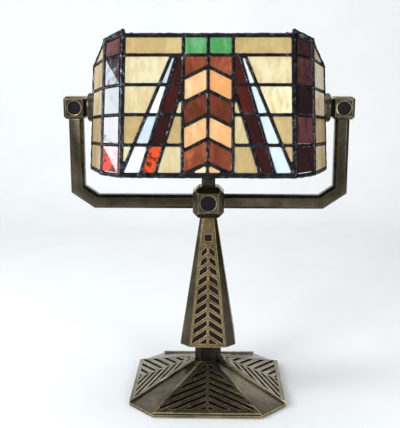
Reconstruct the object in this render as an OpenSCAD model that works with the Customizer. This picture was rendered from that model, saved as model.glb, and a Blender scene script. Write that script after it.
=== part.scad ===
// Table lamp with a leaded glass shade that tilts in a yoke on a cast stand.
// Millimetres, +Z up. The origin is on the table, under the middle of the base.
// +X runs along the shade towards its right end, and -Y is the front.

/* [Base] */
// Width of the base across its wide sides
base_w = 162; // [140:1:200]
// Leg of the corner cut on the base
base_cut = 26.7; // [20:0.5:32]
// Height of the wide sides' rim above the table
rim_h = 6; // [5:0.5:9]
// Height of the base's slopes where they meet the neck
base_h = 33; // [26:1:42]
// Wall of the base casting
base_wall = 4; // [3:0.5:6]
// How far the wide panels stand above the corner slopes
panel_rise = 2.3; // [1:0.1:3]
// Thickness of the felt under the base
felt_t = 2; // [1.5:0.1:3]
// How far the felt stands out below the casting
felt_proud = 0.8; // [0.4:0.1:1.2]
// Thickness of the ballast plate
ballast_t = 8; // [5:0.5:9]
// Hole radius of the cord bushing at the back of the base
cord_hole_r = 3.4; // [2.5:0.1:4]

/* [Column] */
// Width of the neck between base and column
neck_w = 28; // [24:0.5:36]
// Leg of the corner cut on the neck
neck_cut = 6; // [4:0.5:8]
// Height of the neck that shows
neck_h = 22; // [16:1:30]
// Width of the column at its foot
column_foot_w = 58.8; // [50:0.5:70]
// Leg of the corner cut at the column's foot
column_foot_cut = 10.1; // [8:0.1:13]
// Width of the column at its top
column_top_w = 17.4; // [15:0.2:24]
// Leg of the corner cut at the column's top
column_top_cut = 2.9; // [2:0.1:4]
// Height of the column
column_h = 135.4; // [110:0.2:170]
// Depth of the dark recesses between the chevron ribs
rib_depth = 1.6; // [1:0.1:2]
// Spacing of the chevron ribs on the column
rib_pitch = 9.6; // [8:0.1:12]
// Width of one chevron rib on the column
rib_w = 3.8; // [3:0.1:6]
// Spacing of the chevron ribs on the base
base_rib_pitch = 8.4; // [7:0.1:11]
// Width of one chevron rib on the base
base_rib_w = 4.2; // [3:0.1:5]

/* [Hub and yoke] */
// Width of the hub block
hub_w = 32.6; // [28:0.2:40]
// Width of the flat square on each face of the hub
hub_face = 20.4; // [16:0.2:24]
// Radius of the round recess in the hub's faces
hub_recess_r = 8.2; // [5:0.1:9]
// Depth of the round recesses
recess_depth = 2; // [1:0.1:3]
// Distance from the lamp's middle to the middle of a yoke arm
arm_x = 136.4; // [128:0.2:170]
// Thickness of the yoke bar
bar_w = 14.6; // [12:0.2:17]
// Corner cut along the yoke bar
bar_cut = 3; // [1:0.1:4]
// Length along X of the sloping piece between crossbar and arm
slope_x = 19; // [10:0.5:30]
// Height of the sloping piece between crossbar and arm
slope_z = 13; // [6:0.5:20]
// Width of the end blocks at the tops of the arms
block_w = 22.8; // [20:0.2:28]
// Width of the flat square on each face of an end block
block_face = 17.6; // [14:0.2:20]
// Radius of the round recess in the end blocks
block_recess_r = 6.9; // [4:0.1:7.5]

/* [Shade] */
// Height of the shade's bottom edge above the table
shade_z = 244.7; // [236:0.5:300]
// Height of the shade from its bottom edge to its flat top
shade_h = 130; // [110:1:150]
// Half the width of the front panel
front_x = 82; // [76:0.5:90]
// Half the depth of the shade at its bottom edge
rim_y = 78.4; // [72:0.2:88]
// Half the depth of the flat top
top_y = 35.4; // [28:0.2:44]
// Bottom of the arris in the middle of a corner, across and forward
mid_rim = [101.8, 60.5];
// Top of the arris in the middle of a corner, across and forward
mid_top = [100, 30];
// How far the roof drops from its flat top to that arris
mid_drop = 6.5; // [4:0.5:12]
// Bottom corner of the end wall, across and forward
end_rim = [117, 24];
// Top corner of the end wall, across and forward
end_top = [113.2, 15];
// How far the roof drops from its flat top to the end wall
end_drop = 29.7; // [22:0.5:36]

/* [Glass and came] */
// Thickness of the glass
glass_t = 3; // [2:0.1:4]
// Depth of the soldered came on the flat panels
came_t = 5; // [4:0.1:6]
// Width of the came between two panes
came_w = 3.4; // [2.4:0.1:4.5]
// Radius of the came along the shade's arrises
arris_r = 2.4; // [2:0.1:3]
// Height of the doubled seam that stands on each corner of the roof
ridge_rise = 4.2; // [3:0.1:4.4]
// Height of one of the four rows of panes on the front
row_h = 29.2; // [24:0.2:29.8]
// Half the width of the middle strip
strip_x = 23.8; // [18:0.2:28]
// Spacing of the chevrons in the middle strip
chevron_pitch = 23.3; // [20:0.1:25]
// Rise of a chevron from the strip's side to its middle
chevron_rise = 12.3; // [8:0.1:15]

/* [Pivot] */
// Height of the tilt axis above the shade's bottom edge
pivot_h = 59.4; // [50:0.2:70]
// Radius of the pivot studs
stud_r = 3; // [2:0.1:4]
// Radial running clearance on the pivot studs
stud_fit = 0.05; // [0.02:0.01:0.1]
// Radius of the pivot discs
disc_r = 14.75; // [12:0.25:15]
// Gap between a pivot disc and its friction washer
disc_gap = 0.3; // [0.2:0.05:0.5]
// Thickness of a friction washer
washer_t = 1; // [0.5:0.1:1.5]

/* [Socket and bulb] */
// Width of the stem above the hub
stem_w = 14.2; // [12:0.2:18]
// Length of the stem above the hub
stem_h = 16; // [12:1:24]
// Outer radius of the lamp pipe
pipe_r = 4.8; // [4:0.1:6]
// Bore radius of the lamp pipe
pipe_bore_r = 3.4; // [2.5:0.1:4]
// Outer radius of the socket's shell
shell_r = 17; // [15:0.5:20]
// Length of the socket's shell
shell_h = 36; // [30:1:44]
// Length of the socket's cap
cap_h = 18; // [14:1:24]
// Radius of the bulb's glass
bulb_r = 24; // [18:0.5:28]
// Length of the bulb's glass above the socket
bulb_h = 56; // [46:1:60]
// Radius of the switch knob
knob_r = 6; // [4:0.5:8]

/* [Hidden] */
$fn = 64;
pass_gap = 0.25;
half_base = base_w / 2;
half_neck = neck_w / 2;

// Base: the slopes run from the rim up to the neck.
slope_run = half_base - half_neck;
slope_angle = atan((base_h - rim_h) / slope_run);
slope_len = slope_run / cos(slope_angle);
core_drop = panel_rise / cos(slope_angle);
felt_ledge = 4;
cavity_half = half_base - felt_ledge - 3;
cavity_foot = felt_t - 1;
cavity_top = base_h - core_drop - base_wall / cos(slope_angle);
boss_z = 15;
boss_r = 12;
washer_h = 1;
nut_h = 3.6;
nut_r = 9;
ballast_share = (boss_z - cavity_foot) / (cavity_top - cavity_foot);
ballast_half = cavity_half + (half_neck - cavity_half) * ballast_share - 1.5;
pipe_foot = boss_z - ballast_t - washer_h - nut_h;
bushing_r = cord_hole_r + 1.4;
bushing_v = 26;
bushing_proud = 1.2;
bushing_len = panel_rise + base_wall + 1.5 + bushing_proud;
base_spine = 2.6;
base_border = 5;
base_rib_slope = 0.55;

// Column: its four broad faces carry a spine with chevron ribs.
column_z = base_h + neck_h;
column_top = column_z + column_h;
column_lean = atan((column_foot_w - column_top_w) / 2 / column_h);
face_len = column_h / cos(column_lean);
face_foot = column_foot_w / 2 - column_foot_cut;
face_top = column_top_w / 2 - column_top_cut;
face_border = 2.6;
rib_slope = 0.62;
spine_w = 2.6;
panel_top = 27;
window_w = 7.6;
window_h = 7;
window_top = 17.5;

// Hub, yoke and pivot.
hub_z = column_top + hub_w / 2;
hub_top = hub_z + hub_w / 2;
pivot_z = shade_z + pivot_h;
block_foot = pivot_z - block_w / 2;
block_side = arm_x - block_w / 2;
tenon_r = 4;
tenon_len = 7;
stud_end = arm_x + 2;
nut_t = 4;
nut_gap = 0.5;
hex_r = 5.5;

// Lamp pipe and socket, one above the other.
stem_top = hub_top + stem_h;
pipe_top = stem_top + 5;
shell_z = stem_top + cap_h;
shell_top = shell_z + shell_h;
shell_t = 0.6;
liner_t = 0.8;
cap_t = 0.8;
cap_lap = 3;
core_r = shell_r - shell_t - liner_t - 0.6;
core_h = 16;
screw_r = 13.6;
screw_t = 0.4;
bulb_cap_r = screw_r - screw_t - 0.2;
contact_h = 1.2;
bulb_z = shell_top - 5;
bulb_glass_t = 0.8;
knob_z = shell_z + 8;
knob_x = shell_r + 2.5;
knob_t = 9;
spindle_r = 1.6;
spindle_fit = 0.05;
spindle_x = core_r - 6;

// Shade: right front quarter of its corner points, mirrored to the other three.
roof_z = shade_z + shade_h;
front_lean = atan((rim_y - top_y) / shade_h);
front_len = shade_h / cos(front_lean);
end_h = shade_h - end_drop;
end_lean = atan((end_rim[0] - end_top[0]) / end_h);
end_len = end_h / cos(end_lean);
end_x = end_rim[0] - pivot_h * tan(end_lean);
shoulder_len = norm([mid_top[0] - front_x, mid_drop]);
shoulder_angle = atan(mid_drop / (mid_top[0] - front_x));
haunch_len = norm([end_top[0] - mid_top[0], end_drop - mid_drop]);
haunch_angle = atan((end_drop - mid_drop) / (end_top[0] - mid_top[0]));
// Each arris runs from the rim to the roof: front, middle and end.
arris = [
    [[front_x, -rim_y, shade_z], [front_x, -top_y, roof_z]],
    [[mid_rim[0], -mid_rim[1], shade_z], [mid_top[0], -mid_top[1], roof_z - mid_drop]],
    [[end_rim[0], -end_rim[1], shade_z], [end_top[0], -end_top[1], roof_z - end_drop]]
];
rows = 4;
// Share of each arris taken up by the four rows of panes.
row_share = [rows * row_h / front_len, 0.865, 1];
joint_r = arris_r * 1.12;
ridge_r = 0.875 * arris_r;
seam_r = came_w / 2;
// Cells stop short of the arris so that its came stays broad.
edge = arris_r - seam_r + 0.5;
glass_gap = 0.05;
boss_disc_r = disc_r - 2;
// Where the slanting seams of the front meet its top row line and its rim.
outer_seam_top = 34.8;
inner_seam = [30, 63.5];
red_seam_foot = 49.5;
roof_split = 53;

// A square of width w with its corners cut by legs of length c.
module cut_square(w, c) {
    h = w / 2;
    polygon([
        [h - c, -h], [h, c - h], [h, h - c], [h - c, h],
        [c - h, h], [-h, h - c], [-h, c - h], [c - h, -h]
    ]);
}

function cut_square_points(w, c, z) =
    let (h = w / 2)
    [
        [h - c, -h, z], [h, c - h, z], [h, h - c, z], [h - c, h, z],
        [c - h, h, z], [-h, h - c, z], [-h, c - h, z], [c - h, -h, z]
    ];

// Sides of a solid between two rings of n points, split into triangles.
function ring_faces(n) = concat(
    [for (i = [1 : n - 2]) [0, i, i + 1]],
    [for (i = [1 : n - 2]) [n, n + i + 1, n + i]],
    [for (i = [0 : n - 1]) let (j = (i + 1) % n) [i, n + i, n + j]],
    [for (i = [0 : n - 1]) let (j = (i + 1) % n) [i, n + j, j]]
);

// A cut square that changes size evenly between two heights.
module tapered_block(w0, c0, z0, w1, c1, z1) {
    polyhedron(
        concat(cut_square_points(w0, c0, z0), cut_square_points(w1, c1, z1)),
        ring_faces(8)
    );
}

// A cube with its edges cut back to leave a flat square on each face.
module cut_cube(w, face) {
    c = (w - face) / 2;
    intersection() {
        translate([0, 0, -w / 2]) linear_extrude(w) cut_square(w, c);
        rotate([90, 0, 0]) translate([0, 0, -w / 2]) linear_extrude(w) cut_square(w, c);
        rotate([0, 90, 0]) translate([0, 0, -w / 2]) linear_extrude(w) cut_square(w, c);
    }
}

// A round bar from point p to point q.
module rod(p, q, r) {
    d = q - p;
    translate(p)
        rotate([0, acos(d[2] / norm(d)), atan2(d[1], d[0])])
            cylinder(h = norm(d), r = r);
}

module ball(p, r) {
    translate(p) sphere(r = r);
}

module tube(r, bore, h) {
    difference() {
        cylinder(h = h, r = r);
        translate([0, 0, -1]) cylinder(h = h + 2, r = bore);
    }
}

// Stands a flat drawing on the plane that leans back from the front at this lean.
module on_slope(y, z, lean, turn = 0) {
    rotate([0, 0, turn])
        translate([0, -y, z])
            rotate([90 - lean, 0, 0])
                children();
}

function unit(v) = v / norm(v);

function pick(list, i) = list[(i + len(list)) % len(list)];

// Corners of a convex outline after side i, from point i to the next, moves in by d[i].
function inset(points, d) = [
    for (i = [0 : len(points) - 1])
        let (
            e = unit(points[i] - pick(points, i - 1)),
            f = unit(pick(points, i + 1) - points[i]),
            s = sqrt(1 - (e * f) * (e * f))
        )
        points[i] + (pick(d, i - 1) * f - d[i] * e) / s
];

function inset_all(points, d) = inset(points, [for (p = points) d]);

// ---- Base, neck and column ----

// Slots between chevron ribs: rib arms slope down from a spine on the middle line.
module chevron_slots(half_foot, half_top, height, pitch, rib, slope, spine, first, last) {
    reach = half_foot + 1;
    intersection() {
        polygon([[-half_foot, 0], [half_foot, 0], [half_top, height], [-half_top, height]]);
        for (side = [-1, 1], k = [first : last]) {
            foot = k * pitch;
            gap = pitch - rib;
            polygon([
                [side * spine / 2, foot], [side * reach, foot - slope * reach],
                [side * reach, foot + gap - slope * reach], [side * spine / 2, foot + gap]
            ]);
        }
    }
}

module base_panel_outline() {
    polygon([
        [base_cut - half_base, 0], [half_base - base_cut, 0],
        [half_neck - neck_cut, slope_len], [neck_cut - half_neck, slope_len]
    ]);
}

module base_panel() {
    ribs_h = slope_len - 2 * base_border;
    intersection() {
        on_slope(half_base, rim_h, 90 - slope_angle)
            translate([0, 0, -panel_rise])
                difference() {
                    linear_extrude(panel_rise) base_panel_outline();
                    translate([0, base_border, panel_rise - rib_depth])
                        linear_extrude(panel_rise)
                            chevron_slots(
                                half_base - base_cut - base_border, 3.4, ribs_h,
                                base_rib_pitch, base_rib_w, base_rib_slope, base_spine, 0, 10
                            );
                }
        translate([0, 0, -1]) linear_extrude(base_h + 9) cut_square(base_w, base_cut);
    }
}

module base_casting() {
    color("#5b4a32")
        difference() {
            union() {
                translate([0, 0, felt_proud])
                    linear_extrude(rim_h - core_drop - felt_proud) cut_square(base_w, base_cut);
                tapered_block(
                    base_w, base_cut, rim_h - core_drop, neck_w, neck_cut, base_h - core_drop
                );
                for (turn = [0 : 90 : 270]) rotate([0, 0, turn]) base_panel();
            }
            difference() {
                tapered_block(
                    2 * cavity_half, base_cut - 3, cavity_foot,
                    neck_w, neck_cut, cavity_top
                );
                translate([0, 0, boss_z]) cylinder(h = base_h, r = boss_r);
            }
            translate([0, 0, -1])
                linear_extrude(felt_t + 1)
                    cut_square(base_w - 2 * felt_ledge, base_cut - 1);
            translate([0, 0, -1]) cylinder(h = base_h + 9, r = pipe_r + pass_gap);
            translate([0, 0, base_h - core_drop])
                linear_extrude(neck_h) cut_square(neck_w, neck_cut);
            at_bushing(-1) cylinder(h = bushing_len + 2, r = bushing_r);
        }
}

module base_felt() {
    color("#2f4a35")
        linear_extrude(felt_t) cut_square(base_w - 2 * felt_ledge, base_cut - 1);
}

module ballast_plate() {
    color("#3c3c3e")
        translate([0, 0, boss_z - ballast_t])
            linear_extrude(ballast_t)
                difference() {
                    cut_square(2 * ballast_half, base_cut * 0.75);
                    circle(r = pipe_r + pass_gap);
                }
}

// Square to the back slope, part of the way up it.
module at_bushing(lift) {
    on_slope(half_base, rim_h, 90 - slope_angle, 180)
        translate([0, bushing_v, bushing_proud - bushing_len + lift]) children();
}

module cord_bushing() {
    color("#26221e") at_bushing(0) tube(bushing_r, cord_hole_r, bushing_len);
}

module neck_collar() {
    color("#4d3f2b")
        difference() {
            translate([0, 0, base_h - core_drop])
                linear_extrude(neck_h + core_drop) cut_square(neck_w, neck_cut);
            translate([0, 0, base_h - core_drop - 1])
                cylinder(h = neck_h + 9, r = pipe_r + pass_gap);
        }
}

module column_face_cuts() {
    ribs_h = face_len - panel_top - face_border * 2;
    taper = (face_foot - face_top) / face_len;
    on_slope(column_foot_w / 2, column_z, column_lean)
        translate([0, 0, -rib_depth])
            linear_extrude(rib_depth + 2) {
                translate([0, face_border * 1.5])
                    chevron_slots(
                        face_foot - face_border, face_top + taper * panel_top - face_border,
                        ribs_h, rib_pitch, rib_w, rib_slope, spine_w, 0, 15
                    );
                translate([-window_w / 2, face_len - window_top - window_h])
                    square([window_w, window_h]);
            }
}

module column() {
    color("#5b4a32")
        difference() {
            tapered_block(
                column_foot_w, column_foot_cut, column_z,
                column_top_w, column_top_cut, column_top
            );
            for (turn = [0 : 90 : 270]) rotate([0, 0, turn]) column_face_cuts();
            translate([0, 0, column_z - 1]) cylinder(h = column_h + 2, r = pipe_r + pass_gap);
        }
}

// ---- Hub and yoke ----

module face_recess(w, r) {
    translate([0, 0, w / 2 - recess_depth]) cylinder(h = recess_depth + 1, r = r);
}

module hub_block() {
    color("#4d3f2b")
        translate([0, 0, hub_z])
            difference() {
                cut_cube(hub_w, hub_face);
                for (turn = [0, 180])
                    rotate([90, 0, turn]) face_recess(hub_w, hub_recess_r);
                for (turn = [90, -90])
                    rotate([0, turn, 0])
                        translate([0, 0, hub_w / 2 - tenon_len]) cylinder(h = 9, r = tenon_r);
                cylinder(h = hub_w + 2, r = pipe_r + pass_gap, center = true);
            }
}

// One straight piece of the yoke bar, mitred by half of each turn at its ends.
module bar_piece(p, q, turn_p, turn_q) {
    d = unit(q - p);
    n = [-d[1], d[0]];
    s = bar_w;
    cut_p = s * tan(turn_p / 2);
    cut_q = s * tan(turn_q / 2);
    intersection() {
        translate([p[0], 0, p[1]])
            rotate([0, atan2(d[0], d[1]), 0])
                translate([0, 0, -s])
                    linear_extrude(norm(q - p) + 2 * s) cut_square(bar_w, bar_cut);
        translate([0, s, 0])
            rotate([90, 0, 0])
                linear_extrude(2 * s)
                    polygon([
                        p + s * n + cut_p * d, p - s * n - cut_p * d,
                        q - s * n + cut_q * d, q + s * n - cut_q * d
                    ]);
    }
}

module yoke_arm() {
    start = [hub_w / 2, hub_z];
    low = [arm_x - slope_x, hub_z];
    high = [arm_x, hub_z + slope_z];
    end = [arm_x, block_foot];
    turn = atan(slope_z / slope_x);
    bar_piece(start, low, 0, turn);
    bar_piece(low, high, turn, 90 - turn);
    bar_piece(high, end, 90 - turn, 0);
    translate([hub_w / 2 - tenon_len, 0, hub_z])
        rotate([0, 90, 0]) cylinder(h = tenon_len + 1, r = tenon_r);
    translate([arm_x, 0, block_foot - 1]) cylinder(h = tenon_len, r = tenon_r);
}

module right_arm() {
    color("#5b4a32") yoke_arm();
}

module left_arm() {
    color("#5b4a32") mirror([1, 0, 0]) yoke_arm();
}

module end_block() {
    translate([arm_x, 0, pivot_z])
        difference() {
            cut_cube(block_w, block_face);
            for (turn = [0, 180])
                rotate([90, 0, turn]) face_recess(block_w, block_recess_r);
            rotate([0, 90, 0]) face_recess(block_w, block_recess_r);
            translate([0, 0, -block_w / 2 - 1]) cylinder(h = tenon_len, r = tenon_r);
            translate([-block_w, 0, 0])
                rotate([0, 90, 0]) cylinder(h = block_w + stud_end - arm_x, r = stud_r);
        }
}

module right_end_block() {
    color("#4d3f2b") end_block();
}

module left_end_block() {
    color("#4d3f2b") mirror([1, 0, 0]) end_block();
}

module stem() {
    color("#4d3f2b")
        translate([0, 0, hub_top])
            difference() {
                linear_extrude(stem_h) cut_square(stem_w, stem_w / 7);
                translate([0, 0, -1]) cylinder(h = stem_h + 2, r = pipe_r + pass_gap);
            }
}

module lamp_pipe() {
    color("#b08d3c")
        translate([0, 0, pipe_foot]) tube(pipe_r, pipe_bore_r, pipe_top - pipe_foot);
}

module lock_nut() {
    color("#b08d3c")
        translate([0, 0, pipe_foot])
            difference() {
                cylinder(h = nut_h, r = nut_r, $fn = 6);
                translate([0, 0, -1]) cylinder(h = nut_h + 2, r = pipe_r);
            }
}

module pipe_washer() {
    color("#8a8a8c")
        translate([0, 0, pipe_foot + nut_h]) tube(nut_r + 4, pipe_r + pass_gap, washer_h);
}

// ---- Pivot ----

module both_ends() {
    children();
    mirror([1, 0, 0]) children();
}

module along_pivot(x) {
    translate([x, 0, pivot_z]) rotate([0, 90, 0]) children();
}

nut_x = end_x - came_t / 2 - nut_gap - nut_t;
disc_end = block_side - washer_t - disc_gap;

module pivot_studs() {
    color("#b08d3c")
        both_ends() along_pivot(nut_x - 2) cylinder(h = stud_end - nut_x + 2, r = stud_r);
}

module pivot_nuts() {
    color("#b08d3c")
        both_ends()
            along_pivot(nut_x)
                difference() {
                    cylinder(h = nut_t, r = hex_r, $fn = 6);
                    translate([0, 0, -1]) cylinder(h = nut_t + 2, r = stud_r);
                }
}

module friction_washers() {
    color("#2a2724")
        both_ends() along_pivot(block_side - washer_t) tube(stud_r + 5, stud_r, washer_t);
}

module stud_hole() {
    along_pivot(end_x - 9) cylinder(h = 30, r = stud_r + stud_fit);
}

// A disc with a rounded rim, cut flat against the leaning end wall.
module pivot_disc() {
    round_r = 2.2;
    difference() {
        along_pivot(end_x)
            rotate_extrude() {
                square([disc_r - round_r, disc_end - end_x]);
                square([disc_r, disc_end - end_x - round_r]);
                translate([disc_r - round_r, disc_end - end_x - round_r]) circle(r = round_r);
            }
        on_end() translate([-60, -10, came_t / 2 - 20]) cube([120, 140, 20]);
        stud_hole();
    }
}

module pivot_discs() {
    color("#5b4a32") both_ends() pivot_disc();
}

// ---- Shade: frame of came ----

function flip(p, sx, sy) = [sx * p[0], sy * p[1], p[2]];

// Point on arris j at the top of row k, on the quarter given by the two signs.
function row_point(j, k, sx, sy) =
    let (t = row_share[j] * k / rows)
    flip((1 - t) * arris[j][0] + t * arris[j][1], sx, sy);

function rim_point(j, sx, sy) = flip(arris[j][0], sx, sy);

function roof_point(j, sx, sy) = flip(arris[j][1], sx, sy);

// Corners of the rim, counter-clockwise as seen from above.
rim_corners = [
    for (q = [[1, -1], [1, 1], [-1, 1], [-1, -1]], i = [0 : 2])
        let (p = rim_point(q[0] * q[1] < 0 ? i : 2 - i, q[0], q[1]))
        [p[0], p[1]]
];

// An eight-sided bar bent round the rim, mitred at every corner.
module rim_ring() {
    n = len(rim_corners);
    m = 8;
    points = [
        for (k = [0 : m - 1])
            let (a = 22.5 + k * 360 / m, ring = inset_all(rim_corners, -arris_r * cos(a)))
            for (q = ring) [q[0], q[1], shade_z + arris_r * sin(a)]
    ];
    faces = [
        for (k = [0 : m - 1], i = [0 : n - 1])
            let (k2 = (k + 1) % m, i2 = (i + 1) % n)
            [k * n + i, k * n + i2, k2 * n + i2, k2 * n + i]
    ];
    polyhedron(points, faces);
}

module rim_wire() {
    color("#3a3a3c") rim_ring();
}

// The doubled seam that stands on a roof corner and runs down towards the end.
module ridge(sx, sy) {
    top = roof_point(0, sx, sy) + [0, 0, ridge_rise];
    far = roof_point(1, sx, sy) + [0, 0, 0.55 * ridge_rise];
    rod(top, far, ridge_r);
    ball(top, ridge_r * 1.1);
    ball(far, ridge_r * 1.1);
}

module corner_rods(sx, sy) {
    for (j = [0 : 2]) rod(rim_point(j, sx, sy), roof_point(j, sx, sy), arris_r);
    for (j = [0, 1]) rod(roof_point(j, sx, sy), roof_point(j + 1, sx, sy), arris_r);
    for (j = [0 : 2]) ball(roof_point(j, sx, sy), joint_r);
}

module cross_rods() {
    for (sy = [-1, 1]) rod(roof_point(0, -1, sy), roof_point(0, 1, sy), arris_r);
    for (sx = [-1, 1], j = [0 : 2]) rod(roof_point(j, sx, -1), roof_point(j, sx, 1), arris_r);
}

module arris_came() {
    color("#3a3a3c")
        difference() {
            union() {
                for (sx = [-1, 1], sy = [-1, 1]) {
                    corner_rods(sx, sy);
                    ridge(sx, sy);
                }
                cross_rods();
            }
            rim_ring();
        }
}

// Rods across the corner walls between the rows of panes.
module corner_seams() {
    color("#3a3a3c")
        for (sx = [-1, 1], sy = [-1, 1])
            difference() {
                for (j = [0, 1], k = [1 : rows])
                    rod(row_point(j, k, sx, sy), row_point(j + 1, k, sx, sy), seam_r);
                corner_rods(sx, sy);
            }
}

// ---- Shade: flat panels ----

module on_front() {
    on_slope(rim_y, shade_z, front_lean) children();
}

module on_end() {
    on_slope(end_rim[0], shade_z, end_lean, 90) children();
}

module on_roof() {
    translate([0, 0, roof_z]) children();
}

module on_shoulder() {
    translate([front_x, 0, roof_z]) rotate([0, shoulder_angle, 0]) children();
}

module on_haunch() {
    translate([mid_top[0], 0, roof_z - mid_drop]) rotate([0, haunch_angle, 0]) children();
}

module came_plate(outline, cells) {
    translate([0, 0, -came_t / 2])
        linear_extrude(came_t)
            difference() {
                polygon(inset_all(outline, 0.9 * arris_r));
                for (cell = cells) polygon(inset_all(cell, seam_r));
            }
}

module glass(cells) {
    translate([0, 0, -glass_t / 2])
        linear_extrude(glass_t)
            for (cell = cells) polygon(inset_all(cell, seam_r));
}

front_outline = [[-front_x, 0], [front_x, 0], [front_x, front_len], [-front_x, front_len]];
row_v = [edge, row_h, 2 * row_h, 3 * row_h, 4 * row_h, front_len - edge];

function mix(a, b, t) = a + (b - a) * t;

// Places on the slanting seams at height v up the front.
function outer_u(v) = mix(front_x - edge, outer_seam_top, (v - edge) / (row_v[4] - edge));

function inner_u(v) = mix(inner_seam[1], inner_seam[0], v / row_v[4]);

function red_u(v) = v < row_v[3] ? mix(red_seam_foot, strip_x, v / row_v[3]) : strip_x;

side_u = front_x - edge;

// Mirrors an outline to the left half and keeps it counter-clockwise.
function mirrored(cell) =
    [for (i = [len(cell) - 1 : -1 : 0]) [-cell[i][0], cell[i][1]]];

function both_halves(cells) = concat(cells, [for (cell = cells) mirrored(cell)]);

function row_cell(k, a_low, a_high, b_low, b_high) =
    [[a_low, row_v[k]], [b_low, row_v[k]], [b_high, row_v[k + 1]], [a_high, row_v[k + 1]]];

front_cream = both_halves(concat(
    [[[side_u, edge], [side_u, row_v[1]], [outer_u(row_v[1]), row_v[1]]]],
    [for (k = [1 : 3]) row_cell(k, outer_u(row_v[k]), outer_u(row_v[k + 1]),
        side_u, side_u)],
    [row_cell(4, strip_x, strip_x, side_u, side_u)],
    [for (k = [0 : 1]) row_cell(k, strip_x, strip_x, red_u(row_v[k]), red_u(row_v[k + 1]))],
    [[[strip_x, row_v[2]], [red_u(row_v[2]), row_v[2]], [strip_x, row_v[3]]]]
));
front_white = both_halves(concat(
    [[
        [inner_u(edge), edge], [side_u, edge],
        [outer_u(row_v[1]), row_v[1]], [inner_u(row_v[1]), row_v[1]]
    ]],
    [for (k = [1 : 3]) row_cell(k, inner_u(row_v[k]), inner_u(row_v[k + 1]),
        outer_u(row_v[k]), outer_u(row_v[k + 1]))]
));
front_red = both_halves(
    [for (k = [0 : 3]) row_cell(k, red_u(row_v[k]), red_u(row_v[k + 1]),
        inner_u(row_v[k]), inner_u(row_v[k + 1]))]
);
front_green = both_halves([row_cell(4, 0, 0, strip_x, strip_x)]);

// Chevron line n: its height at the strip's side; it rises to the middle.
function chevron_v(n) = n * chevron_pitch;

function chevron_cell(n) = [
    [0, chevron_v(n) + chevron_rise], [strip_x, max(chevron_v(n), edge)],
    [strip_x, chevron_v(n + 1)], [0, chevron_v(n + 1) + chevron_rise]
];

front_brown = both_halves([
    [
        [0, chevron_v(4) + chevron_rise], [strip_x, chevron_v(4)],
        [strip_x, row_v[4]], [0, row_v[4]]
    ],
    chevron_cell(2), chevron_cell(0)
]);
front_peach = both_halves([
    [[0, edge], [strip_x - edge * 2, edge], [0, chevron_rise]],
    chevron_cell(1), chevron_cell(3)
]);
front_cells =
    concat(front_cream, front_white, front_red, front_green, front_brown, front_peach);

module front_edge_rods() {
    rod(roof_point(0, -1, 1), roof_point(0, 1, 1), arris_r);
    for (sx = [-1, 1]) {
        rod(rim_point(0, sx, 1), roof_point(0, sx, 1), arris_r);
        ball(roof_point(0, sx, 1), joint_r);
    }
    rim_ring();
}

module front_plate() {
    difference() {
        on_front() came_plate(front_outline, front_cells);
        front_edge_rods();
    }
}

module to_back() {
    mirror([0, 1, 0]) children();
}

module front_came() {
    color("#3a3a3c") front_plate();
}

module back_came() {
    color("#3a3a3c") to_back() front_plate();
}

end_outline = [
    [-end_rim[1], 0], [end_rim[1], 0], [end_top[1], end_len], [-end_top[1], end_len]
];
end_inner = inset_all(end_outline, edge);

function end_side(v) =
    mix(end_inner[1][0], end_inner[2][0], (v - edge) / (end_len - 2 * edge));

function end_row(k) = mix(edge, end_len - edge, k / rows);

end_cells = [
    for (k = [0 : rows - 1])
        let (a = end_row(k), b = end_row(k + 1))
        [[-end_side(a), a], [end_side(a), a], [end_side(b), b], [-end_side(b), b]]
];

module end_plate() {
    difference() {
        union() {
            on_end() came_plate(end_outline, end_cells);
            on_end()
                translate([0, pivot_h / cos(end_lean), -came_t / 2])
                    cylinder(h = came_t, r = boss_disc_r);
        }
        for (sy = [-1, 1]) {
            rod(rim_point(2, 1, sy), roof_point(2, 1, sy), arris_r);
            ball(roof_point(2, 1, sy), joint_r);
        }
        rod(roof_point(2, 1, -1), roof_point(2, 1, 1), arris_r);
        rim_ring();
        stud_hole();
    }
}

module right_end_came() {
    color("#3a3a3c") end_plate();
}

module left_end_came() {
    color("#3a3a3c") mirror([1, 0, 0]) end_plate();
}

roof_outline = [[-front_x, -top_y], [front_x, -top_y], [front_x, top_y], [-front_x, top_y]];

function quad(a, b, c, d) = [[a, c], [b, c], [b, d], [a, d]];

roof_cream = concat(
    both_halves([quad(strip_x, roof_split, edge - top_y, 0), quad(strip_x, roof_split, 0, top_y - edge)]),
    both_halves([
        quad(roof_split, front_x - edge, edge - top_y, 0),
        quad(roof_split, front_x - edge, 0, top_y - edge)
    ])
);
roof_green = both_halves([quad(0, strip_x, edge - top_y, 0), quad(0, strip_x, 0, top_y - edge)]);

module roof_came() {
    color("#3a3a3c")
        difference() {
            on_roof() came_plate(roof_outline, concat(roof_cream, roof_green));
            cross_rods();
            for (sx = [-1, 1], sy = [-1, 1]) ball(roof_point(0, sx, sy), joint_r);
        }
}

function slope_outline(len, a, b) = [[0, -a], [len, -b], [len, b], [0, a]];

function slope_cells(len, a, b) =
    let (o = inset_all(slope_outline(len, a, b), edge))
    [
        [o[0], o[1], [o[1][0], 0], [o[0][0], 0]],
        [[o[0][0], 0], [o[1][0], 0], o[2], o[3]]
    ];

shoulder_outline = slope_outline(shoulder_len, top_y, mid_top[1]);
shoulder_cells = slope_cells(shoulder_len, top_y, mid_top[1]);
haunch_outline = slope_outline(haunch_len, mid_top[1], end_top[1]);
haunch_cells = slope_cells(haunch_len, mid_top[1], end_top[1]);

module roof_end_plates() {
    difference() {
        union() {
            on_shoulder() came_plate(shoulder_outline, shoulder_cells);
            on_haunch() came_plate(haunch_outline, haunch_cells);
        }
        for (sy = [-1, 1]) {
            corner_rods(1, sy);
            ridge(1, sy);
        }
        cross_rods();
    }
}

module right_roof_came() {
    color("#3a3a3c") roof_end_plates();
}

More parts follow.
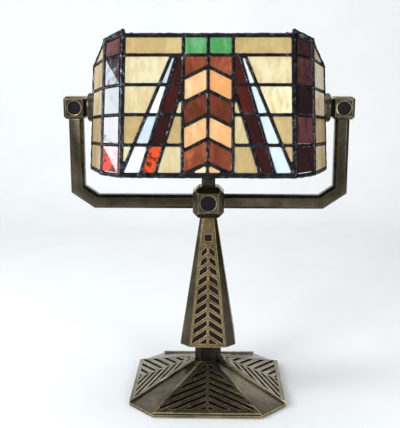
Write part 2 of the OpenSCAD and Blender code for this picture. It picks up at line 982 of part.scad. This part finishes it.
module left_roof_came() {
    color("#3a3a3c") mirror([1, 0, 0]) roof_end_plates();
}

// ---- Shade: glass ----

module front_cream_panes() {
    color("#e6c98a") on_front() glass(front_cream);
}

module front_white_panes() {
    color("#f4f6f4") on_front() glass(front_white);
}

module front_red_panes() {
    color("#5e1712") on_front() glass(front_red);
}

module front_brown_panes() {
    color("#6f3521") on_front() glass(front_brown);
}

module front_peach_panes() {
    color("#e6a868") on_front() glass(front_peach);
}

module front_green_panes() {
    color("#86c58c") on_front() glass(front_green);
}

module back_cream_panes() {
    to_back() front_cream_panes();
}

module back_white_panes() {
    to_back() front_white_panes();
}

module back_red_panes() {
    to_back() front_red_panes();
}

module back_brown_panes() {
    to_back() front_brown_panes();
}

module back_peach_panes() {
    to_back() front_peach_panes();
}

module back_green_panes() {
    to_back() front_green_panes();
}

// A pane of glass between corner points that need not be quite level with each other.
module corner_pane(points) {
    n = len(points);
    normal = unit(cross(points[1] - points[0], points[n - 1] - points[0]));
    half = normal * glass_t / 2;
    polyhedron(
        concat([for (p = points) p - half], [for (p = points) p + half]),
        ring_faces(n)
    );
}

// Corner points of the pane in row k between arris j and the next, inset from the came.
function corner_cell(j, k, sx, sy) =
    let (
        a = row_point(j, k, sx, sy),
        b = row_point(j + 1, k, sx, sy),
        c = k < rows ? row_point(j + 1, k + 1, sx, sy) : roof_point(j + 1, sx, sy),
        d = k < rows ? row_point(j, k + 1, sx, sy) : roof_point(j, sx, sy),
        wide = arris_r + glass_gap,
        thin = seam_r + glass_gap,
        foot = k == 0 ? wide : thin,
        head = k == rows ? wide : thin,
        whole = norm(b - c) > 1,
        outline = whole ? [a, b, c, d] : [a, b, d],
        sides = whole ? [foot, wide, head, wide] : [foot, head, wide],
        ordered = sx * sy < 0 ? outline : [for (i = [len(outline) - 1 : -1 : 0]) outline[i]],
        reordered = sx * sy < 0
            ? sides
            : [for (i = [len(sides) - 1 : -1 : 0]) pick(sides, i - 1)]
    )
    inset(ordered, reordered);

module corner_panes(j) {
    for (sx = [-1, 1], sy = [-1, 1], k = [0 : rows])
        corner_pane(corner_cell(j, k, sx, sy));
}

module corner_maroon_panes() {
    color("#57201c") corner_panes(0);
}

module corner_amber_panes() {
    color("#d9b374") corner_panes(1);
}

module end_amber_panes() {
    color("#d9b374")
        both_ends()
            difference() {
                on_end() glass(end_cells);
                on_end()
                    translate([0, pivot_h / cos(end_lean), -came_t])
                        cylinder(h = 2 * came_t, r = boss_disc_r);
            }
}

module roof_cream_panes() {
    color("#e6c98a") on_roof() glass(roof_cream);
}

module roof_green_panes() {
    color("#86c58c") on_roof() glass(roof_green);
}

module roof_maroon_panes() {
    color("#57201c") both_ends() on_shoulder() glass(shoulder_cells);
}

module roof_amber_panes() {
    color("#d9b374") both_ends() on_haunch() glass(haunch_cells);
}

// ---- Socket, switch and bulb ----

module socket_cap() {
    foot_r = 9;
    top_r = shell_r + cap_t;
    color("#b08d3c")
        translate([0, 0, stem_top])
            difference() {
                rotate_extrude()
                    polygon([
                        [0, 0], [foot_r, 0], [top_r, cap_h * 0.7], [top_r, cap_h],
                        [shell_r, cap_h], [shell_r, cap_h - cap_lap],
                        [top_r - 2 * cap_t, cap_h * 0.7], [foot_r - cap_t, 2], [0, 2]
                    ]);
                translate([0, 0, -1]) cylinder(h = 9, r = pipe_r);
            }
}

module spindle_hole(r) {
    translate([0, 0, knob_z]) rotate([0, 90, 0]) cylinder(h = 30, r = r);
}

module socket_shell() {
    color("#b08d3c")
        difference() {
            translate([0, 0, shell_z - cap_lap])
                tube(shell_r, shell_r - shell_t, shell_h + cap_lap);
            spindle_hole(spindle_r + 0.6);
        }
}

module socket_liner() {
    color("#c9b48c")
        difference() {
            translate([0, 0, shell_z - cap_lap])
                tube(shell_r - shell_t, shell_r - shell_t - liner_t, shell_h + cap_lap - 1);
            spindle_hole(spindle_r + 0.6);
        }
}

module socket_core() {
    color("#1d1b1a")
        difference() {
            translate([0, 0, shell_z - 2]) cylinder(h = core_h + 2, r = core_r);
            translate([0, 0, knob_z])
                rotate([0, 90, 0])
                    translate([0, 0, spindle_x]) cylinder(h = 30, r = spindle_r + spindle_fit);
        }
}

module screw_shell() {
    color("#c9a24a")
        translate([0, 0, shell_z + core_h])
            tube(screw_r, screw_r - screw_t, shell_h - core_h - 4);
}

module centre_contact() {
    color("#c9a24a")
        translate([0, 0, shell_z + core_h]) cylinder(h = contact_h, r = 4);
}

module switch_spindle() {
    color("#8a8a8c")
        translate([spindle_x + 0.3, 0, knob_z])
            rotate([0, 90, 0]) cylinder(h = knob_x - spindle_x - 0.3, r = spindle_r);
}

module switch_knob() {
    flutes = 12;
    color("#1d1b1a")
        translate([knob_x, 0, knob_z])
            rotate([0, 90, 0])
                difference() {
                    cylinder(h = knob_t, r = knob_r);
                    for (i = [0 : flutes - 1])
                        rotate([0, 0, i * 360 / flutes])
                            translate([knob_r + 0.5, 0, 2]) cylinder(h = knob_t, r = 1);
                }
}

// Half outline of the bulb's glass: a round top that runs down into a neck.
function bulb_outline(r, neck, h) = concat(
    [[0, 0], [neck, 0], [neck, 4]],
    [for (a = [-38 : 8 : 82]) [r * cos(a), h - r + r * sin(a)]],
    [[0, h]]
);

module bulb_glass() {
    neck = bulb_cap_r - 1;
    t = bulb_glass_t;
    color("#f4f1e6", 0.6)
        translate([0, 0, bulb_z])
            difference() {
                rotate_extrude() polygon(bulb_outline(bulb_r, neck, bulb_h));
                translate([0, 0, t])
                    rotate_extrude()
                        polygon(bulb_outline(bulb_r - t, neck - t, bulb_h - 2 * t));
            }
}

module bulb_cap() {
    foot = shell_z + core_h + contact_h;
    color("#b9b9bb")
        translate([0, 0, foot]) {
            cylinder(h = 3, r1 = 4, r2 = 9);
            translate([0, 0, 3]) cylinder(h = bulb_z - foot - 3, r = bulb_cap_r);
        }
}

base_casting();
base_felt();
ballast_plate();
cord_bushing();
neck_collar();
column();
hub_block();
left_arm();
right_arm();
left_end_block();
right_end_block();
stem();
lamp_pipe();
lock_nut();
pipe_washer();
pivot_studs();
pivot_nuts();
friction_washers();
pivot_discs();
rim_wire();
arris_came();
corner_seams();
front_came();
back_came();
left_end_came();
right_end_came();
roof_came();
left_roof_came();
right_roof_came();
front_cream_panes();
front_white_panes();
front_red_panes();
front_brown_panes();
front_peach_panes();
front_green_panes();
back_cream_panes();
back_white_panes();
back_red_panes();
back_brown_panes();
back_peach_panes();
back_green_panes();
corner_maroon_panes();
corner_amber_panes();
end_amber_panes();
roof_cream_panes();
roof_green_panes();
roof_maroon_panes();
roof_amber_panes();
socket_cap();
socket_shell();
socket_liner();
socket_core();
screw_shell();
centre_contact();
switch_spindle();
switch_knob();
bulb_glass();
bulb_cap();
all();
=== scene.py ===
"""Table lamp with a leaded glass shade: materials, soldered seams, light and camera."""

import math
import random

import bmesh
import bpy
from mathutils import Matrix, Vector


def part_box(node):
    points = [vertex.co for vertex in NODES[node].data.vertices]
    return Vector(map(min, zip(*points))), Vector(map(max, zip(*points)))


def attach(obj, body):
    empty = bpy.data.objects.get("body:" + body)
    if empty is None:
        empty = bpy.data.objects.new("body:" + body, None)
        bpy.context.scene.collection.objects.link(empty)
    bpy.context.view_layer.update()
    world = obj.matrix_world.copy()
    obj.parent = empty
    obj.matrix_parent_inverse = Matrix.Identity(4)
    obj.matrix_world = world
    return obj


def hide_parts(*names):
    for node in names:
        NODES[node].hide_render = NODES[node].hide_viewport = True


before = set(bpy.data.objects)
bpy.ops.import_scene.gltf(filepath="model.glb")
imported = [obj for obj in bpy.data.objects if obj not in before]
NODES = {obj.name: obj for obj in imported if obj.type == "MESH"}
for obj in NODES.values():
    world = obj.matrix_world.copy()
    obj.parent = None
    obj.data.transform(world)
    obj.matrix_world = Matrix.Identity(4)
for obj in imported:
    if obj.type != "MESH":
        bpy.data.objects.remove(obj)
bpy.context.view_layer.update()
MM = 0.001

EDGE_ROUNDING = 0.55 * MM
SHARP_CAST_EDGE = math.radians(28)
SMOOTH_UNDER = math.radians(40)
SUNK_DEPTHS = (1 * MM, 4 * MM)
SOLDER_VOXEL = 0.72 * MM
SOLDER_LUMP_SIZE = 5 * MM
SOLDER_LUMP_HEIGHT = 1.2 * MM
PAINTED_LIGHT_HEIGHT = 32 * MM

CAST_NODES = [
    "base_casting", "neck_collar", "column", "hub_block", "left_arm", "right_arm",
    "left_end_block", "right_end_block", "stem",
]
RECESSED_NODES = ["base_casting", "column", "hub_block", "left_end_block", "right_end_block"]
SEAM_NODES = [
    "front_came", "back_came", "left_end_came", "right_end_came", "roof_came",
    "left_roof_came", "right_roof_came", "arris_came", "rim_wire", "corner_seams",
]


# ---- Shader helpers ----

class Graph:
    """A material's nodes, with short calls for the few kinds this scene uses."""

    def __init__(self, name):
        self.material = bpy.data.materials.new(name)
        self.material.use_nodes = True
        self.tree = self.material.node_tree
        self.shader = self.tree.nodes["Principled BSDF"]
        self.place = self.node("ShaderNodeTexCoord").outputs["Object"]

    def node(self, kind, **settings):
        made = self.tree.nodes.new(kind)
        for key, value in settings.items():
            setattr(made, key, value)
        return made

    def feed(self, socket, value):
        if isinstance(value, bpy.types.NodeSocket):
            self.tree.links.new(value, socket)
        elif isinstance(value, tuple) and len(value) == 3 and socket.type == "RGBA":
            socket.default_value = (*value, 1)
        else:
            socket.default_value = value

    def set(self, **values):
        for key, value in values.items():
            self.feed(self.shader.inputs[key.replace("_", " ")], value)

    def stretch(self, scale, shift=None):
        """The place in the object, scaled along each axis and moved by shift."""
        mapping = self.node("ShaderNodeMapping")
        self.feed(mapping.inputs["Vector"], self.place)
        self.feed(mapping.inputs["Scale"], Vector(scale))
        if shift is not None:
            self.feed(mapping.inputs["Location"], shift)
        return mapping.outputs["Vector"]

    def noise(self, scale=1.0, detail=3.0, rough=0.5, warp=0.0, at=None):
        made = self.node("ShaderNodeTexNoise")
        self.feed(made.inputs["Vector"], self.place if at is None else at)
        self.feed(made.inputs["Scale"], scale)
        self.feed(made.inputs["Detail"], detail)
        self.feed(made.inputs["Roughness"], rough)
        self.feed(made.inputs["Distortion"], warp)
        return made.outputs["Fac"]

    def ramp(self, value, *stops):
        """A colour or grey that follows value through (position, colour) stops."""
        made = self.node("ShaderNodeValToRGB")
        self.feed(made.inputs["Fac"], value)
        points = made.color_ramp.elements
        while len(points) < len(stops):
            points.new(0.5)
        for point, (position, colour) in zip(points, stops):
            point.position = position
            grey = isinstance(colour, (int, float))
            point.color = (colour, colour, colour, 1) if grey else (*colour, 1)
        return made.outputs["Color"]

    def mix(self, amount, first, second, kind="MIX"):
        made = self.node("ShaderNodeMix", data_type="RGBA", blend_type=kind)
        self.feed(made.inputs["Factor"], amount)
        self.feed(made.inputs["A"], first)
        self.feed(made.inputs["B"], second)
        return made.outputs["Result"]

    def maths(self, kind, first, second):
        made = self.node("ShaderNodeMath", operation=kind, use_clamp=True)
        self.feed(made.inputs[0], first)
        self.feed(made.inputs[1], second)
        return made.outputs[0]

    def bump(self, *layers):
        """Stacks (height, strength, depth in metres) layers into one normal."""
        normal = None
        for height, strength, depth in layers:
            made = self.node("ShaderNodeBump")
            self.feed(made.inputs["Height"], height)
            self.feed(made.inputs["Strength"], strength)
            self.feed(made.inputs["Distance"], depth)
            if normal is not None:
                self.feed(made.inputs["Normal"], normal)
            normal = made.outputs["Normal"]
        self.feed(self.shader.inputs["Normal"], normal)

    def edge_wear(self, radius):
        """1 on edges and 0 on flat faces, from how far a rounded normal leans away."""
        bevel = self.node("ShaderNodeBevel", samples=8)
        self.feed(bevel.inputs["Radius"], radius)
        flat = self.node("ShaderNodeNewGeometry").outputs["Normal"]
        dot = self.node("ShaderNodeVectorMath", operation="DOT_PRODUCT")
        self.feed(dot.inputs[0], bevel.outputs["Normal"])
        self.feed(dot.inputs[1], flat)
        return self.maths("SUBTRACT", 1.0, dot.outputs["Value"])

    def painted_hollow_shade(self, distance):
        """Painted shade: grey that falls to black deep in recesses and corners."""
        shade = self.node("ShaderNodeAmbientOcclusion", samples=8, only_local=True)
        self.feed(shade.inputs["Distance"], distance)
        return shade.outputs["AO"]


# ---- Metals ----

def antique_bronze(name, tone, gilt):
    """Dark patina over cast metal, rubbed back to gold on the edges by the share gilt, with
    painted shade deep in its recesses.
    """
    g = Graph(name)
    cloud = g.noise(26, 5, 0.6, 0.5)
    grain = g.noise(420, 4, 0.65)
    tone = g.ramp(cloud, (0.32, tuple(0.45 * c for c in tone)), (0.52, tone),
                  (0.75, tuple(1.9 * c for c in tone)))
    worn = g.maths("MULTIPLY", g.edge_wear(1.5 * MM), 12.0)
    patchy = g.ramp(g.noise(70, 4, 0.7), (0.36, 0.25), (0.60, 1.0))
    gold = g.mix(grain, (0.60, 0.43, 0.20), (0.98, 0.78, 0.42))
    tone = g.mix(g.maths("MULTIPLY", g.maths("MULTIPLY", worn, patchy), gilt), tone, gold)
    # Painted shade: the tone falls to near black deep in recesses and corners.
    depth = g.ramp(g.painted_hollow_shade(5 * MM), (0.45, 0.0), (0.92, 1.0))
    tone = g.mix(depth, (0.006, 0.004, 0.008), tone)
    g.set(Base_Color=tone, Metallic=0.9,
          Roughness=g.ramp(g.noise(150, 4, 0.6), (0.3, 0.16), (0.7, 0.32)))
    g.bump((cloud, 0.12, 0.4 * MM), (grain, 0.20, 0.2 * MM))
    return g.material


def recess_black():
    """Near-black for the floors of the recesses."""
    g = Graph("recess_black")
    cloud = g.noise(160, 4, 0.6)
    g.set(Base_Color=g.ramp(cloud, (0.3, (0.004, 0.003, 0.005)), (0.7, (0.014, 0.011, 0.014))),
          Metallic=0.8, Roughness=g.ramp(cloud, (0.3, 0.35), (0.7, 0.6)))
    g.bump((g.noise(420, 4, 0.65), 0.3, 0.25 * MM))
    return g.material


def polished_brass():
    g = Graph("polished_brass")
    cloud = g.noise(60, 4, 0.6)
    tone = g.ramp(cloud, (0.3, (0.50, 0.34, 0.13)), (0.7, (0.74, 0.55, 0.26)))
    # Painted shade: the tone falls to dark brown deep in recesses and corners.
    tone = g.mix(g.ramp(g.painted_hollow_shade(3 * MM), (0.3, 0.0), (0.8, 1.0)), (0.08, 0.05, 0.02), tone)
    g.set(Base_Color=tone, Metallic=1.0, Roughness=g.ramp(cloud, (0.3, 0.22), (0.7, 0.38)))
    g.bump((g.noise(700, 3, 0.6), 0.12, 0.1 * MM))
    return g.material


def steel(name, dark, light, rough):
    g = Graph(name)
    cloud = g.noise(80, 4, 0.6)
    g.set(Base_Color=g.ramp(cloud, (0.3, dark), (0.7, light)), Metallic=0.9,
          Roughness=g.ramp(cloud, (0.3, rough), (0.7, rough + 0.15)))
    g.bump((g.noise(500, 3, 0.6), 0.2, 0.15 * MM))
    return g.material


def solder():
    """Black-patina solder: lumpy and glossy, with bright grey where the black wore off."""
    g = Graph("patina_solder")
    lumps = g.noise(190, 3, 0.55)
    tone = g.ramp(g.noise(150, 4, 0.65), (0.40, (0.010, 0.010, 0.012)),
                  (0.62, (0.030, 0.030, 0.034)), (0.78, (0.30, 0.30, 0.31)))
    g.set(Base_Color=tone, Metallic=0.85,
          Roughness=g.ramp(g.noise(260, 3, 0.6), (0.3, 0.10), (0.7, 0.30)))
    g.bump((lumps, 0.6, 1.0 * MM), (g.noise(700, 3, 0.6), 0.25, 0.2 * MM))
    return g.material


# ---- Glass ----

def art_glass(name, tones, painted_light_tone=None, ripple=0.4, mottle=0.25, shine=0.5, dim=0.74):
    """Opalescent sheet glass: streaks of three tones, moved along for each pane."""
    g = Graph(name)
    own = g.node("ShaderNodeAttribute", attribute_name="pane")
    split = g.node("ShaderNodeSeparateColor")
    g.feed(split.inputs["Color"], own.outputs["Color"])
    tint, lift, painted_light_share = split.outputs
    shift = g.node("ShaderNodeVectorMath", operation="SCALE")
    g.feed(shift.inputs["Vector"], own.outputs["Vector"])
    g.feed(shift.inputs["Scale"], 31.0)
    at = g.stretch((260, 260, 34), shift.outputs["Vector"])
    bands = g.noise(0.33, 4, 0.6, 0.7, at)
    clouds = g.noise(1.0, 4, 0.6, 1.2, g.stretch((55, 55, 40), shift.outputs["Vector"]))
    value = g.mix(mottle, bands, clouds)
    value = g.mix(0.30, value, tint)
    low, middle, high = tones
    tone = g.ramp(value, (0.34, low), (0.49, middle), (0.64, high))
    tone = g.mix(1.0, tone, g.ramp(lift, (0.0, dim), (1.0, 1.0)), "MULTIPLY")
    strands = g.ramp(g.noise(0.9, 3, 0.5, 0.3, at), (0.50, 0.0), (0.66, 0.55))
    tone = g.mix(strands, tone, low)
    # Painted light: bright orange-red patches on the panes marked for it.
    if painted_light_tone is not None:
        painted_light_patch = g.ramp(g.noise(1.0, 3, 0.6, 1.5, g.stretch((120, 120, 120))),
                       (0.40, 0.0), (0.52, 1.0))
        tone = g.mix(g.maths("MULTIPLY", painted_light_patch, painted_light_share), tone, painted_light_tone)
    g.set(Base_Color=tone, Roughness=g.ramp(clouds, (0.3, 0.06), (0.7, 0.16)))
    g.shader.inputs["IOR"].default_value = 1.52
    g.shader.inputs["Specular IOR Level"].default_value = shine
    g.shader.inputs["Subsurface Weight"].default_value = 0.35
    g.shader.inputs["Subsurface Radius"].default_value = (4 * MM, 3 * MM, 2 * MM)
    g.shader.inputs["Subsurface Scale"].default_value = 1.0
    g.bump((bands, 0.25, 0.5 * MM), (g.noise(95, 2, 0.5), ripple, 1.0 * MM),
           (g.noise(330, 2, 0.5), ripple * 0.4, 0.25 * MM))
    return g.material


GLASS = {
    "cream": dict(tones=((0.48, 0.34, 0.14), (0.62, 0.50, 0.26), (0.72, 0.65, 0.42)), dim=0.82),
    "white": dict(tones=((0.62, 0.74, 0.82), (0.80, 0.87, 0.90), (0.90, 0.92, 0.92))),
    "red": dict(tones=((0.032, 0.004, 0.003), (0.090, 0.009, 0.006), (0.20, 0.026, 0.014)),
                painted_light_tone=(0.66, 0.075, 0.015), ripple=0.5, shine=0.25, dim=0.6),
    "brown": dict(tones=((0.120, 0.024, 0.009), (0.26, 0.062, 0.025), (0.44, 0.13, 0.050)),
                  ripple=0.45, shine=0.25, dim=0.7),
    "peach": dict(tones=((0.74, 0.34, 0.12), (0.84, 0.52, 0.25), (0.90, 0.70, 0.44))),
    "green": dict(tones=((0.06, 0.30, 0.08), (0.22, 0.52, 0.26), (0.60, 0.78, 0.60))),
    "maroon": dict(tones=((0.016, 0.004, 0.005), (0.050, 0.012, 0.012), (0.20, 0.060, 0.060)),
                   painted_light_tone=(0.62, 0.045, 0.02), ripple=0.3, mottle=0.6, shine=0.55, dim=0.5),
    "amber": dict(tones=((0.42, 0.28, 0.13), (0.58, 0.44, 0.25), (0.72, 0.64, 0.46))),
}


# ---- Other materials ----

def felt():
    g = Graph("green_felt")
    fuzz = g.noise(900, 5, 0.8)
    g.set(Base_Color=g.ramp(fuzz, (0.3, (0.020, 0.045, 0.024)), (0.7, (0.050, 0.095, 0.055))),
          Roughness=0.95)
    g.shader.inputs["Sheen Weight"].default_value = 0.4
    g.bump((fuzz, 0.6, 0.5 * MM))
    return g.material


def moulded(name, dark, light, rough):
    g = Graph(name)
    cloud = g.noise(140, 4, 0.6)
    g.set(Base_Color=g.ramp(cloud, (0.35, dark), (0.7, light)),
          Roughness=g.ramp(cloud, (0.3, rough), (0.7, rough + 0.2)))
    g.bump((g.noise(600, 3, 0.6), 0.15, 0.15 * MM))
    return g.material


def frosted_bulb():
    g = Graph("frosted_bulb")
    cloud = g.noise(60, 3, 0.5)
    g.set(Base_Color=g.ramp(cloud, (0.3, (0.86, 0.85, 0.80)), (0.7, (0.95, 0.94, 0.90))),
          Roughness=g.ramp(g.noise(900, 3, 0.7), (0.3, 0.35), (0.7, 0.55)))
    g.shader.inputs["Transmission Weight"].default_value = 0.35
    g.bump((g.noise(1200, 2, 0.6), 0.1, 0.05 * MM))
    return g.material


# ---- Pieces ----

def copy_of(node, name):
    """A new object with its own copy of a CAD node's mesh."""
    piece = bpy.data.objects.new(name, NODES[node].data.copy())
    bpy.context.scene.collection.objects.link(piece)
    return piece


def clean(mesh, join=0.01 * MM, flat=math.radians(0.6)):
    """Joins doubled corners and drops the edges inside flat faces."""
    work = bmesh.new()
    work.from_mesh(mesh)
    bmesh.ops.remove_doubles(work, verts=work.verts, dist=join)
    bmesh.ops.dissolve_limit(work, angle_limit=flat, verts=work.verts, edges=work.edges)
    work.to_mesh(mesh)
    work.free()


def soften_shallow_edges(piece):
    """Shades the mesh as smooth, save where its faces meet at more than 40 degrees."""
    for face in piece.data.polygons:
        face.use_smooth = True
    piece.data.set_sharp_from_angle(angle=SMOOTH_UNDER)


def dress(piece, material):
    piece.data.materials.clear()
    piece.data.materials.append(material)


def finish_piece(piece, material, body, record_slot, *replaced):
    dress(piece, material)
    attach(piece, body)
    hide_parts(*replaced)


def blacken_recesses(piece, sunk):
    """Gives a second material to faces sunk a little below others that face the same way."""
    facing = {}
    for face in piece.data.polygons:
        way = tuple(round(part, 2) + 0.0 for part in face.normal)
        facing.setdefault(way, []).append(face)
    least, most = SUNK_DEPTHS
    for faces in facing.values():
        outer = max(face.normal.dot(face.center) for face in faces)
        for face in faces:
            depth = outer - face.normal.dot(face.center)
            if least < depth < most and abs(face.normal.z) < 0.98:
                face.material_index = 1
    piece.data.materials.append(sunk)


def paint_chamfer_shade(piece, patina):
    """Painted shade: gives the darker bronze, passed in as patina, to the faces that cut across
    the column's corners.
    """
    for face in piece.data.polygons:
        if min(abs(face.normal.x), abs(face.normal.y)) > 0.3:
            face.material_index = len(piece.data.materials)
    piece.data.materials.append(patina)


def rounded_casting(node, material, sunk):
    """A casting with its sharp CAD edges rounded, as a real one comes out of the sand."""
    piece = copy_of(node, node + "_cast")
    clean(piece.data)
    for face in piece.data.polygons:
        face.use_smooth = True
    bevel = piece.modifiers.new("edges", "BEVEL")
    bevel.width = EDGE_ROUNDING
    bevel.segments = 2
    bevel.limit_method = "ANGLE"
    bevel.angle_limit = SHARP_CAST_EDGE
    bevel.harden_normals = True
    bevel.use_clamp_overlap = True
    finish_piece(piece, material, "stand", "cast_bronze", node)
    if node in RECESSED_NODES:
        blacken_recesses(piece, sunk)
    return piece


def solder_lines(material):
    """All the shade's came as one run of solder: rounded, fused at joints and lumpy."""
    whole = bmesh.new()
    for node in SEAM_NODES:
        whole.from_mesh(NODES[node].data)
    mesh = bpy.data.meshes.new("solder_lines")
    whole.to_mesh(mesh)
    whole.free()
    piece = bpy.data.objects.new("solder_lines", mesh)
    bpy.context.scene.collection.objects.link(piece)
    remesh = piece.modifiers.new("fuse", "REMESH")
    remesh.mode = "VOXEL"
    remesh.voxel_size = SOLDER_VOXEL
    remesh.use_smooth_shade = True
    soften = piece.modifiers.new("round", "SMOOTH")
    soften.factor = 0.6
    soften.iterations = 5
    lumps = bpy.data.textures.new("solder_lumps", "CLOUDS")
    lumps.noise_scale = SOLDER_LUMP_SIZE
    swell = piece.modifiers.new("lumps", "DISPLACE")
    swell.texture = lumps
    swell.texture_coords = "LOCAL"
    swell.strength = SOLDER_LUMP_HEIGHT
    swell.mid_level = 0.62
    thin = piece.modifiers.new("thin", "DECIMATE")
    thin.ratio = 0.45
    finish_piece(piece, material, "shade", "came", *SEAM_NODES)


def islands(work):
    """The separate solids in a mesh, each as its faces, in the order of the faces."""
    work.faces.index_update()
    seen = set()
    for start in work.faces:
        if start.index in seen:
            continue
        seen.add(start.index)
        found, queue = [], [start]
        while queue:
            face = queue.pop()
            found.append(face)
            for edge in face.edges:
                for near in edge.link_faces:
                    if near.index not in seen:
                        seen.add(near.index)
                        queue.append(near)
        yield found


def gets_painted_light(kind, middle):
    """Panes that get painted light, bright orange-red patches: the lowest red and maroon ones of
    the left front.
    """
    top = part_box("rim_wire")[0].z + PAINTED_LIGHT_HEIGHT
    left_front = middle.x < 0 and middle.y < 0
    return left_front and middle.z < top and kind in ("red", "maroon")


def glass_panes(node, kind, material, dice):
    """Panes with a random tint and shade of their own, and a mark for painted light, kept in an
    attribute.
    """
    piece = copy_of(node, node + "_glass")
    work = bmesh.new()
    work.from_mesh(piece.data)
    bmesh.ops.remove_doubles(work, verts=work.verts, dist=0.01 * MM)
    layer = work.loops.layers.color.new("pane")
    for faces in islands(work):
        middle = sum((f.calc_center_median() for f in faces), Vector()) / len(faces)
        # The third channel is 1 on panes that get painted light.
        own = (dice.random(), dice.random(), 1.0 if gets_painted_light(kind, middle) else 0.0, 1.0)
        for face in faces:
            for loop in face.loops:
                loop[layer] = own
    work.to_mesh(piece.data)
    work.free()
    soften_shallow_edges(piece)
    finish_piece(piece, material, "shade", "glass_" + kind, node)


def rounded_discs(material):
    piece = copy_of("pivot_discs", "pivot_discs_turned")
    soften_shallow_edges(piece)
    finish_piece(piece, material, "shade", "cast_bronze", "pivot_discs")


# ---- Making the lamp ----

bronze = antique_bronze("antique_bronze", (0.060, 0.050, 0.032), 1.0)
# Partly painted light: the base's own bronze, made lighter than the yoke's to stand in for a gleam
# on its ribs.
base_bronze_and_painted_gleam = antique_bronze("base_bronze_and_painted_gleam", (0.165, 0.142, 0.100), 1.0)
dark_bronze = antique_bronze("dark_bronze", (0.026, 0.021, 0.016), 0.35)
golden_bronze = antique_bronze("golden_bronze", (0.190, 0.135, 0.062), 1.0)
METAL_OF = {
    "base_casting": base_bronze_and_painted_gleam, "column": golden_bronze, "neck_collar": dark_bronze,
    "stem": dark_bronze,
}
brass = polished_brass()
sunk = recess_black()
for node in CAST_NODES:
    piece = rounded_casting(node, METAL_OF.get(node, bronze), sunk)
    if node == "column":
        # Painted shade on the column's chamfer faces.
        paint_chamfer_shade(piece, bronze)
rounded_discs(bronze)
solder_lines(solder())

dice = random.Random(11)
for kind, look in GLASS.items():
    material = art_glass(kind + "_art_glass", **look)
    for node in sorted(NODES):
        if node.endswith("_" + kind + "_panes"):
            glass_panes(node, kind, material, dice)

PLAIN = {
    felt(): ["base_felt"],
    steel("cast_iron", (0.06, 0.06, 0.065), (0.14, 0.14, 0.15), 0.55): ["ballast_plate"],
    steel("zinc_plate", (0.38, 0.38, 0.40), (0.60, 0.60, 0.62), 0.30): [
        "pipe_washer", "bulb_cap",
    ],
    moulded("black_moulding", (0.010, 0.010, 0.010), (0.030, 0.028, 0.026), 0.35): [
        "cord_bushing", "friction_washers", "socket_core", "switch_knob",
    ],
    moulded("fibre_liner", (0.46, 0.34, 0.20), (0.62, 0.50, 0.32), 0.7): ["socket_liner"],
    frosted_bulb(): ["bulb_glass"],
    brass: [
        "lamp_pipe", "lock_nut", "pivot_studs", "pivot_nuts", "socket_cap", "socket_shell",
        "screw_shell", "centre_contact", "switch_spindle",
    ],
}
for material, members in PLAIN.items():
    for node in members:
        for number in range(len(NODES[node].material_slots)):
            NODES[node].material_slots[number].material = material


# ---- Floor, light and camera ----

def backdrop():
    """A pale floor that curves up into a wall behind the lamp."""
    wide, near, far, height, bend = 6.0, -3.0, 1.1, 3.0, 0.35
    profile = [(near, 0.0), (far - bend, 0.0)]
    for step in range(1, 13):
        turn = math.pi / 2 * step / 12
        profile.append((far - bend + bend * math.sin(turn), bend - bend * math.cos(turn)))
    profile.append((far, height))
    corners = [(side * wide, y, z) for y, z in profile for side in (-1, 1)]
    faces = [(2 * i, 2 * i + 1, 2 * i + 3, 2 * i + 2) for i in range(len(profile) - 1)]
    mesh = bpy.data.meshes.new("backdrop")
    mesh.from_pydata(corners, [], faces)
    for face in mesh.polygons:
        face.use_smooth = True
    paper = bpy.data.objects.new("backdrop", mesh)
    bpy.context.scene.collection.objects.link(paper)
    g = Graph("pale_paper")
    g.set(Base_Color=g.ramp(g.noise(6, 4, 0.6), (0.3, (0.70, 0.70, 0.70)),
                            (0.7, (0.74, 0.74, 0.74))), Roughness=0.8)
    dress(paper, g.material)


def soft_box(name, place, target, size, power, colour=(1, 1, 1)):
    light = bpy.data.lights.new(name, "AREA")
    light.shape = "RECTANGLE"
    light.size, light.size_y = size
    light.energy = power
    light.color = colour
    lamp = bpy.data.objects.new(name, light)
    bpy.context.scene.collection.objects.link(lamp)
    lamp.location = place
    lamp.rotation_euler = (Vector(target) - Vector(place)).to_track_quat("-Z", "Y").to_euler()


def camera():
    eye = bpy.data.cameras.new("camera")
    eye.sensor_fit = "HORIZONTAL"
    eye.sensor_width = 36
    eye.lens = 65.08
    seen = bpy.data.objects.new("camera", eye)
    bpy.context.scene.collection.objects.link(seen)
    seen.location = (0.0090, -0.7484, 0.3448)
    seen.rotation_euler = (math.pi / 2 - 0.2006, 0, 0.0239)
    bpy.context.scene.camera = seen


def daylight():
    """Sky light that is strong on the window's side and weak on the right."""
    world = bpy.data.worlds.new("daylight")
    world.use_nodes = True
    tree = world.node_tree
    sky = tree.nodes["Background"]
    sky.inputs["Color"].default_value = (0.93, 0.96, 1.0, 1)
    way = tree.nodes.new("ShaderNodeTexCoord")
    split = tree.nodes.new("ShaderNodeSeparateXYZ")
    across = tree.nodes.new("ShaderNodeMapRange")
    for name, value in (("From Min", -1.0), ("From Max", 1.0), ("To Min", 0.95), ("To Max", 0.15)):
        across.inputs[name].default_value = value
    tree.links.new(way.outputs["Generated"], split.inputs["Vector"])
    tree.links.new(split.outputs["X"], across.inputs["Value"])
    tree.links.new(across.outputs["Result"], sky.inputs["Strength"])
    bpy.context.scene.world = world


bpy.context.scene.view_settings.view_transform = "Standard"
backdrop()
daylight()
soft_box("window", (-1.15, -0.22, 0.69), (0, 0, 0.30), (0.44, 0.46), 10, (0.82, 0.94, 1.0))
soft_box("left_fill", (-1.0, -1.3, 0.9), (0, 0, 0.25), (0.7, 0.7), 15, (0.95, 0.98, 1.0))
soft_box("right_fill", (0.95, -1.5, 0.7), (0, 0, 0.22), (0.7, 0.7), 14)
soft_box("top", (0.1, 0.1, 1.7), (0, 0, 0.2), (1.2, 1.2), 10)
camera()
